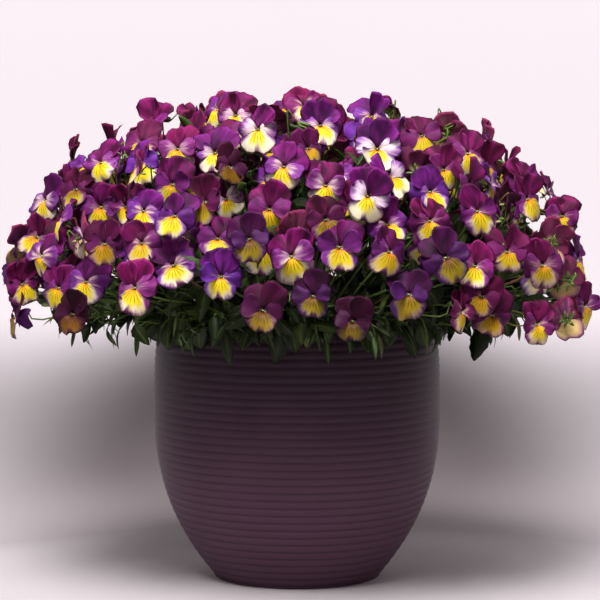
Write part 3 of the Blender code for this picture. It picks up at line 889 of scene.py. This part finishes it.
def add_bud(gather, bloom, numbers):
    """A furled purple bud in its green calyx, with five sepals that point forward along it."""
    for centre, radii, slot in BUD_BEADS:
        add_bead(gather, bloom, centre, radii, slot)
    for number in range(5):
        angle = 2 * math.pi * number / 5
        centre = (0.0024 * math.cos(angle), 0.0024 * math.sin(angle), 0.0005)
        add_bead(gather, bloom, centre, (0.0009, 0.0009, 0.0056 * numbers.uniform(0.8, 1.1)), GREEN)


def read_bloom(node, numbers):
    """A CAD flower's throat, facing and size: its petals are a flat plate, its calyx lies behind."""
    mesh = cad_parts[node].data
    mesh.calc_loop_triangles()
    triangles = mesh.loop_triangles
    normals = np.array([t.normal for t in triangles])
    areas = np.array([t.area for t in triangles])
    alike = (normals @ normals.T > 0.999) @ areas
    face = normals[alike.argmax()]
    points = np.array([v.co for v in mesh.vertices])
    along = points @ face
    depth = along.max() - along.min()
    calyx_end = points[along < along.min() + END_DEPTH].mean(axis=0)
    throat = calyx_end + face * depth
    kind = MAIN_KINDS.get(node, "fresh")
    return Bloom(throat, face, depth / CAD_FLOWER_DEPTH, numbers.normal(0.0, 0.16), kind, True, numbers)


def facing(turn, climb, twist, tilt=0.0):
    """Where a flower looks: outwards, turned by twist, and a little up the higher it grows."""
    rise = math.radians(6.0 + 0.3 * climb + tilt)
    return heading(turn + twist) * math.cos(rise) + UP * math.sin(rise)


def further_blooms(numbers):
    """The flowers listed in FURTHER, each with its plant."""
    blooms = []
    for turn, climb, twist, size, kind in FURTHER:
        throat = mound.point(turn, climb, numbers.uniform(0.95, 1.0))
        face = facing(turn, climb, twist, numbers.normal(0.0, 4.0))
        bloom = Bloom(throat, face, size, numbers.normal(0.0, 0.20), kind, True, numbers)
        blooms.append((plant_at(turn, climb), bloom))
    return blooms


def turned_away(numbers):
    """How far a flower is turned and tilted from straight outwards: mostly little, some a lot."""
    chance = numbers.random()
    if chance < 0.10:
        return numbers.uniform(100.0, 260.0), numbers.normal(0.0, 20.0)
    if chance < 0.42:
        return numbers.normal(0.0, 48.0), numbers.normal(0.0, 24.0)
    return numbers.normal(0.0, 18.0), numbers.normal(0.0, 10.0)


def any_kind(climb, numbers):
    """A kind by chance: the lowest flowers are dusky or golden more often, as painted shade."""
    if climb < 20.0 and numbers.random() < 0.6:
        return "gold" if numbers.random() < 0.25 else "dusky"
    return str(numbers.choice(list(KIND_SHARES), p=list(KIND_SHARES.values())))


def in_leafy_gap(turn, climb):
    """True in patches about 50 mm wide where leaves show between the clumps of flowers."""
    wave = math.sin(0.27 * turn + 0.11 * climb) * math.sin(0.20 * climb - 0.05 * turn)
    return wave > LEAFY_LEVEL


def scatter_blooms(taken, numbers):
    """Fills the mound between the listed flowers, with a least distance between neighbours."""
    places, blooms = [b.throat for b in taken], []
    for _ in range(BLOOM_TRIES):
        if len(blooms) == BLOOM_COUNT:
            break
        turn = numbers.uniform(-180.0, 180.0)
        lowest = 20.0 if abs(turn) < 60.0 else 7.0
        climb = numbers.uniform(lowest, 89.0)
        if numbers.random() > math.cos(math.radians(climb)) ** 0.5:
            continue
        if in_leafy_gap(turn, climb):
            continue
        furthest = 1.0 if abs(turn) < 100.0 else 0.97
        depth = numbers.uniform(0.86, furthest) + 0.05 * numbers.random() ** 3
        depth = depth - 0.06 * (climb / 90.0) ** 2
        throat = mound.point(turn, climb, depth)
        if min(np.linalg.norm(throat - place) for place in places) < BLOOM_SPACING:
            continue
        twist, tilt = turned_away(numbers)
        if abs(turn) > 80.0:                    # high ones on the sides and back look up more
            tilt += max(climb - 40.0, 0.0) * 0.5
        face = facing(turn, climb, twist, tilt)
        size = numbers.uniform(0.84, 1.10)
        kind = any_kind(climb, numbers)
        bloom = Bloom(throat, face, size, numbers.normal(0.0, 0.28), kind, False, numbers)
        places.append(throat)
        blooms.append((plant_at(turn, climb), bloom))
    return blooms


def scatter_buds(numbers):
    """Nodding buds, between the flowers on the sides and standing a little out on the top."""
    buds = []
    for _ in range(BUD_COUNT):
        turn, climb = numbers.uniform(-180.0, 180.0), numbers.uniform(25.0, 80.0)
        depth = numbers.uniform(0.99, 1.03) if climb > 58.0 else numbers.uniform(0.91, 0.97)
        throat = mound.point(turn, climb, depth)
        face = facing(turn, climb, numbers.normal(0.0, 50.0), numbers.uniform(-50.0, 10.0))
        bud = Bloom(throat, face, numbers.uniform(0.8, 1.1), 0.0, "wine", False, numbers)
        buds.append((plant_at(turn, climb), bud))
    return buds


# ---------------------------------------------------------------- stalks and stems
def crown_of(plant):
    """Where a plant's stems leave the soil: the middle of the foot of its CAD stems."""
    points = np.array([v.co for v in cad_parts[plant + "_stems"].data.vertices])
    return points[points[:, 2] < points[:, 2].min() + END_DEPTH].mean(axis=0)


def add_stalk(gather, crown, bloom, numbers):
    """A flower's stalk: out of the plant's stems, up behind the flower, and hooked over into it."""
    end = bloom.throat - bloom.face * STALK_SEAT * bloom.size
    apex = bloom.throat - bloom.face * HOOK_BACK * bloom.size + UP * HOOK_RISE
    start = crown + (bloom.throat - crown) * numbers.uniform(0.42, 0.58)
    start[2] = max(start[2] - 0.012, crown[2] + 0.034)
    rise = bezier((start, start + (apex - start) * 0.45 + UP * 0.004, apex - UP * 0.024, apex), 7)
    hook = bezier((apex, apex + UP * 0.005, end - bloom.face * 0.005 + UP * 0.005, end), 5)
    path = np.concatenate((rise, hook[1:]))
    radii = np.linspace(STALK_RADIUS * 1.15, STALK_RADIUS * 0.85, len(path))
    add_tube(gather, path, radii, 6, 0, (numbers.random(), 0.0, numbers.random()))


def add_stems(gather, plant, crown, numbers):
    """The branching leafy stems of one plant, from its crown out into the mound."""
    middle = PLANTS[plant]
    for number in range(9):
        if middle is None:
            turn, climb = number * 40.0, 74.0
        else:
            turn = middle + numbers.uniform(-30.0, 30.0)
            climb = (6.0, 16.0, 28.0, 40.0, 52.0)[number % 5] + numbers.uniform(-5.0, 5.0)
        aim = mound.point(turn, climb, 0.86)
        lifted = crown + (aim - crown) * 0.35 + UP * 0.030
        path = bezier((crown - UP * 0.004, lifted, crown + (aim - crown) * 0.7, aim), 12)
        radii = np.linspace(STEM_RADIUS, STEM_RADIUS * 0.45, len(path))
        add_tube(gather, path, radii, 6, 0, (numbers.random(), 0.0, numbers.random() * 0.7))


# ---------------------------------------------------------------- leaves
def leaf_grid(length, width, rows, columns, toothed, fold, droop, twist):
    """A leaf as a grid: x across, y from its base to its tip, z up; toothed, folded and drooping."""
    t = np.linspace(0.0, 1.0, rows + 1)[:, None]
    s = np.linspace(1.0, -1.0, columns + 1)
    bulge = np.sin(math.pi * (0.03 + 0.95 * t) ** 0.85)
    scallop = 1.0 - 0.13 * (np.arange(rows + 1) % 2)[:, None] * toothed
    x = width / 2 * np.maximum(bulge, 0.03) ** 0.85 * scallop * s
    y = np.broadcast_to(length * t, x.shape)
    z = fold * abs(x) - droop * length * t ** 2 + twist * x * t
    return np.stack((x, y, z), -1), surface_grid(s, t, x.shape)


def add_leaf(gather, base, tip_way, normal, size, numbers, painted_shade, petiole_from, fine=False):
    """One leaf at a base point, pointing along tip_way with its face towards normal."""
    length, width = size
    tip_way = unit(tip_way)
    normal = unit(normal - tip_way * (normal @ tip_way))
    across = np.cross(tip_way, normal)
    rows, columns = (12, 4) if fine else (9, 2)
    fold, droop = numbers.uniform(0.10, 0.5), numbers.uniform(0.0, 0.6)
    twist, toothed = numbers.normal(0.0, 1.2), width >= 0.3 * length
    grid, surface = leaf_grid(length, width, rows, columns, toothed, fold, droop, twist)
    world = base + grid @ np.stack((across, tip_way, normal))
    tint = (numbers.random(), painted_shade, numbers.random())
    add_sheet(gather, world, surface, LEAF_THICKNESS, (0, 0), tint)
    middle = (base + petiole_from) / 2 + UP * 0.003
    path = bezier((petiole_from, middle, base - tip_way * 0.008, base + tip_way * 0.002), 4)
    add_tube(gather, path, np.full(4, PETIOLE_RADIUS), 4, 1, (0.6, 0.0, 0.3))


def leaf_size(lengths, shares, numbers):
    """A leaf's length and width, from ranges of its length and of its width's share of it."""
    length = numbers.uniform(*lengths)
    return length, length * numbers.uniform(*shares)


def canopy_leaf(gather, turn, climb, depth, numbers):
    """A leaf inside the dome of flowers, facing out and up."""
    out = mound.normal(turn, climb)
    base = mound.point(turn, climb, depth)
    scatter = numbers.normal(0.0, 0.75, 3)
    tip_way = unit(out * numbers.uniform(0.1, 0.6) + scatter + UP * 0.25)
    normal = out * 0.9 + UP * 0.6 + numbers.normal(0.0, 0.4, 3)
    inside = depth < 0.78
    slim = numbers.random() < (0.0 if inside else 0.5)
    size = leaf_size(INNER_LENGTHS if inside else OUTER_LENGTHS, SLIM if slim else BROAD, numbers)
    # Painted shade: the deeper a leaf lies in the mound, the darker it is painted.
    painted_shade = float(np.clip((0.91 - depth) * 3.8, 0.0, 0.90))
    add_leaf(gather, base, tip_way, normal, size, numbers, painted_shade, mound.point(turn, climb, depth - 0.13))


def skirt_leaf(gather, turn, numbers):
    """A leaf under the edge of the dome, hanging a little over the pot's rim."""
    depth = numbers.uniform(0.46, 0.88)
    way = heading(turn)
    base = mound.point(turn, 0.0, depth)
    base[2] = mound.level + numbers.uniform(0.004, 0.034)
    tip_way = way * numbers.uniform(0.3, 1.0) - UP * numbers.uniform(0.1, 0.9)
    tip_way = tip_way + numbers.normal(0.0, 0.4, 3)
    inside = depth < 0.66
    slim = numbers.random() < (0.2 if inside else 0.62)
    lengths = (0.024, 0.036) if inside else (0.018, 0.028)
    size = leaf_size(lengths, (0.16, 0.26) if slim else BROAD, numbers)
    inner = mound.point(turn, 3.0, depth - 0.12)
    # 0.68 here is painted shade, dark under the dome's edge.
    add_leaf(gather, base, tip_way, way + numbers.normal(0.0, 0.3, 3), size, numbers, 0.68, inner)


def hooked_leaf(gather, turn, numbers):
    """A narrow leaf that hangs from under the edge of the dome."""
    way = heading(turn)
    base = mound.point(turn, 0.0, numbers.uniform(0.62, 0.84))
    base[2] = mound.level + numbers.uniform(-0.004, 0.008)
    tip_way = way * 0.35 - UP + numbers.normal(0.0, 0.25, 3)
    size = leaf_size((0.018, 0.026), (0.15, 0.24), numbers)
    # 0.35 here is painted shade under the dome's edge.
    add_leaf(gather, base, tip_way, way, size, numbers, 0.35, base - way * 0.022 + UP * 0.010)


def rim_leaf(gather, turn, numbers, rim_radius, rim_height):
    """A broad leaf that lies over the pot's rim with its tip down."""
    way = heading(turn)
    base = way * (rim_radius + numbers.uniform(0.004, 0.012))
    base[2] = rim_height + numbers.uniform(0.004, 0.012)
    tip_way = way * 0.25 - UP + numbers.normal(0.0, 0.22, 3)
    size = leaf_size((0.024, 0.036), (0.6, 0.85), numbers)
    inner = way * (rim_radius - 0.012) + UP * (rim_height + 0.008)
    # 0.52 here is painted shade under the dome's edge.
    add_leaf(gather, base, tip_way, way, size, numbers, 0.52, inner, True)


def plant_leaves(numbers):
    """All the leaves, gathered plant by plant."""
    gathers = {plant: Gather() for plant in PLANTS}
    placed = 0
    while placed < LEAF_COUNT:
        turn, climb = numbers.uniform(-180.0, 180.0), numbers.uniform(0.0, 89.0)
        if numbers.random() > math.cos(math.radians(climb)) ** (2 / MOUND_ROUNDNESS):
            continue
        depth = 0.92 - 0.32 * numbers.random() ** 1.2
        canopy_leaf(gathers[plant_at(turn, climb)], turn, climb, depth, numbers)
        placed += 1
    for add, count in ((skirt_leaf, SKIRT_COUNT), (hooked_leaf, HOOKED_COUNT)):
        for _ in range(count):
            turn = numbers.uniform(-180.0, 180.0)
            add(gathers[plant_at(turn, 0.0)], turn, numbers)
    low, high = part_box("pot")
    rim_radius = (high[0] - low[0]) / 2
    for number in range(RIM_LEAF_COUNT):
        turn = 360.0 * number / RIM_LEAF_COUNT + numbers.uniform(-4.0, 4.0) - 180.0
        rim_leaf(gathers[plant_at(turn, 0.0)], turn, numbers, rim_radius, high[2])
    return gathers


# ---------------------------------------------------------------- studio
def make_stage():
    """A pale floor that runs up into a round pale wall."""
    cove, radius, wall = 1.0, 4.6, 4.0
    profile = [(r, 0.0) for r in (0.001, 0.12, 0.3, 0.6, 0.9, 1.3, 1.8, 2.6, radius - cove)]
    for angle in np.linspace(0.0, math.pi / 2, 10)[1:]:
        profile.append((radius - cove + cove * math.sin(angle), cove - cove * math.cos(angle)))
    profile.append((radius, wall))
    stage = turned_piece("studio_floor", profile, STAGE_SIDES, stage_paint(), closed=False)


def put_up(name, data, place, aim):
    """Puts a light or a camera at a place, looking at aim."""
    thing = bpy.data.objects.new(name, data)
    bpy.context.scene.collection.objects.link(thing)
    thing.location = place
    way = unit(np.array(aim) - np.array(place))
    thing.rotation_euler = Vector(way).to_track_quat("-Z", "Y").to_euler()
    return thing


def soft_light(name, place, size, power):
    """A round soft light that shines on the planter."""
    data = bpy.data.lights.new(name, "AREA")
    data.shape = "DISK"
    data.size = size
    data.energy = power
    data.spread = math.radians(LIGHT_SPREAD)
    put_up(name, data, place, LIGHT_AIM)


def make_lights():
    soft_light("key", (-0.25, -1.05, 2.25), 1.4, 19.8)
    soft_light("back", (0.20, 0.20, 2.3), 1.0, 2.5)
    world = bpy.data.worlds.new("studio")
    world.use_nodes = True
    world.node_tree.nodes["Background"].inputs["Color"].default_value = (0.95, 0.93, 0.95, 1.0)
    world.node_tree.nodes["Background"].inputs["Strength"].default_value = 0.02
    bpy.context.scene.world = world


def make_camera():
    """A long lens a little above the rim, as for a catalogue picture."""
    data = bpy.data.cameras.new("camera")
    data.sensor_width = 36.0
    data.lens = CAMERA_LENS
    bpy.context.scene.camera = put_up("camera", data, CAMERA_PLACE, CAMERA_AIM)


# ---------------------------------------------------------------- the whole planter
def make_plants():
    petal_paints = [
        upper_petal_paint(), side_petal_paint(), lip_paint(), petal_back_paint(), lip_back_paint(),
        green_paint(), stigma_paint(),
    ]
    green, leaf = petal_paints[GREEN], leaf_paint()
    numbers = np.random.default_rng(11)
    crowns = {plant: crown_of(plant) for plant in PLANTS}
    stalks = {plant: Gather() for plant in PLANTS}
    main = []
    for node in sorted(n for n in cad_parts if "_flower_" in n):
        plant, number = node.split("_flower_")
        bloom = read_bloom(node, numbers)
        main.append(bloom)
        gather = Gather()
        add_flower(gather, bloom, numbers)
        add_stalk(stalks[plant], crowns[plant], bloom, numbers)
        piece = gather.build(f"{plant}_bloom_{number}", petal_paints)
        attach(piece, "root")
        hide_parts(node)
    more = {plant: Gather() for plant in PLANTS}
    further = further_blooms(numbers)
    main += [bloom for _, bloom in further]
    for plant, bloom in further + scatter_blooms(main, numbers):
        add_flower(more[plant], bloom, numbers)
        add_stalk(stalks[plant], crowns[plant], bloom, numbers)
    for plant, bud in scatter_buds(numbers):
        add_bud(more[plant], bud, numbers)
        add_stalk(stalks[plant], crowns[plant], bud, numbers)
    leaves = plant_leaves(np.random.default_rng(5))
    for plant in PLANTS:
        add_stems(stalks[plant], plant, crowns[plant], numbers)
        rest = more[plant].build(plant + "_more_blooms", petal_paints)
        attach(rest, "root")
        stems = stalks[plant].build(plant + "_stalks", [green])
        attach(stems, "root")
        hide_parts(plant + "_stems")
        foliage = leaves[plant].build(plant + "_foliage", [leaf, green])
        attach(foliage, "root")
        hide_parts(plant + "_leaves")


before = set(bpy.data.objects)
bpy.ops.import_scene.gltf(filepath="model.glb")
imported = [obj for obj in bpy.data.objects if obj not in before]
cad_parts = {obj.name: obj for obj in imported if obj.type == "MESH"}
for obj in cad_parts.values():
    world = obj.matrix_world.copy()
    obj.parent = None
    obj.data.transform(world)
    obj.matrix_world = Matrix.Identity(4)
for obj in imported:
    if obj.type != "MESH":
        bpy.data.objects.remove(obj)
cad_low, cad_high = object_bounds()
mound = Mound(cad_low, cad_high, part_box("pot")[1][2])
make_camera()
make_lights()
make_stage()
make_pot()
make_soil()
make_plants()
bpy.context.scene.view_settings.view_transform = "Standard"
